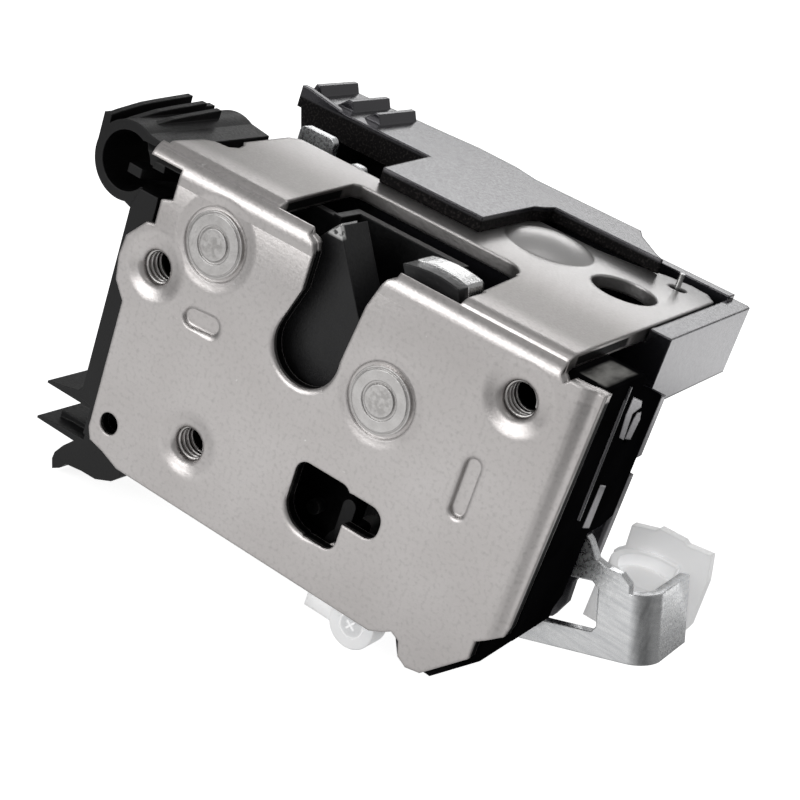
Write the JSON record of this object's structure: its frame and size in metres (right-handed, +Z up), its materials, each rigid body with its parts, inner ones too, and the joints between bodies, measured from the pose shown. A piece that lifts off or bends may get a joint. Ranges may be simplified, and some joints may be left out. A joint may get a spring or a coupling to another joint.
{
  "type": "door_lock",
  "caption": "Car door lock with steel face plate, striker slot, turning claw and pawl, plastic housing and cover, outside lever and rod clips",
  "frame": {"origin": "On the front face of the face plate, on the centre line of the striker slot, 12 mm below the claw's pivot height", "axes": "+X along the face plate, to the right seen from outside; +Y into the lock, away from the door edge; +Z up, the way the slot opens"},
  "size_m": [0.1065, 0.0624, 0.0638],
  "materials": {
    "zinc_sheet": "satin",
    "bright_zinc": "bright",
    "rivet_steel": "satin",
    "core_steel": "bright",
    "spring_wire": "satin",
    "screw_steel": "black oxide",
    "black_plastic": "matte",
    "gloss_cover": "glossy",
    "claw_plastic": "satin",
    "bumper_rubber": "matte",
    "white_clip": "translucent"
  },
  "bodies": {
    "frame": {"face_plate": "zinc_sheet", "housing": "black_plastic", "back_plate": "zinc_sheet", "back_cover": "black_plastic", "rear_cover": "gloss_cover", "claw_rivet": "rivet_steel", "pawl_rivet": "rivet_steel", "striker_bumper": "bumper_rubber", "claw_spring": "spring_wire", "pawl_spring": "spring_wire", "outside_lever_pin": "rivet_steel", "lock_lever_pin": "rivet_steel", "inside_lever_pin": "rivet_steel", "locking_pin": "rivet_steel", "toggle_spring": "spring_wire", "cover_screws": "screw_steel", "tray_screws": "screw_steel"},
    "claw": {"claw_core": "core_steel", "claw_cover": "claw_plastic"},
    "pawl": {"pawl_core": "core_steel", "pawl_cover": "claw_plastic"},
    "outside_lever": {"outside_lever": "bright_zinc"},
    "outside_clip": {"outside_rod_clip": "white_clip"},
    "lock_lever": {"lock_lever": "black_plastic"},
    "lock_clip": {"lock_rod_clip": "white_clip"},
    "inside_lever": {"inside_lever": "black_plastic"},
    "locking_slide": {"locking_slide": "bright_zinc"}
  },
  "joints": [
    {"name": "claw_turn", "type": "hinge", "parent": "frame", "child": "claw", "pos_m": [0.0125, 0.008, 0.012], "axis": [0, -1, 0], "range_deg": [0, 50]},
    {"name": "pawl_turn", "type": "hinge", "parent": "frame", "child": "pawl", "pos_m": [-0.0209, 0.008, 0.0205], "axis": [0, -1, 0], "range_deg": [-4, 8]},
    {"name": "outside_lever_turn", "type": "hinge", "parent": "frame", "child": "outside_lever", "pos_m": [0.02, 0.0177, -0.008], "axis": [0, 1, 0], "range_deg": [0, 15]},
    {"name": "outside_clip_turn", "type": "hinge", "parent": "outside_lever", "child": "outside_clip", "pos_m": [0.05646, 0.025, -0.0073], "axis": [0.9483, 0, 0.3173], "range_deg": [-8, 3]},
    {"name": "lock_lever_turn", "type": "hinge", "parent": "frame", "child": "lock_lever", "pos_m": [0.0125, 0.006, -0.0146], "axis": [0, 1, 0], "range_deg": [0, 16]},
    {"name": "lock_clip_turn", "type": "hinge", "parent": "lock_lever", "child": "lock_clip", "pos_m": [0.0177, 0.0061, -0.0243], "axis": [0, 1, 0], "range_deg": [-8, 8]},
    {"name": "inside_lever_turn", "type": "hinge", "parent": "frame", "child": "inside_lever", "pos_m": [-0.03, 0.0215, 0.024], "axis": [0, 0, 1], "range_deg": [0, 12]},
    {"name": "locking_slide_turn", "type": "hinge", "parent": "frame", "child": "locking_slide", "pos_m": [-0.012, 0.04, 0.0243], "axis": [0, 0, 1], "range_deg": [0, 8]}
  ]
}
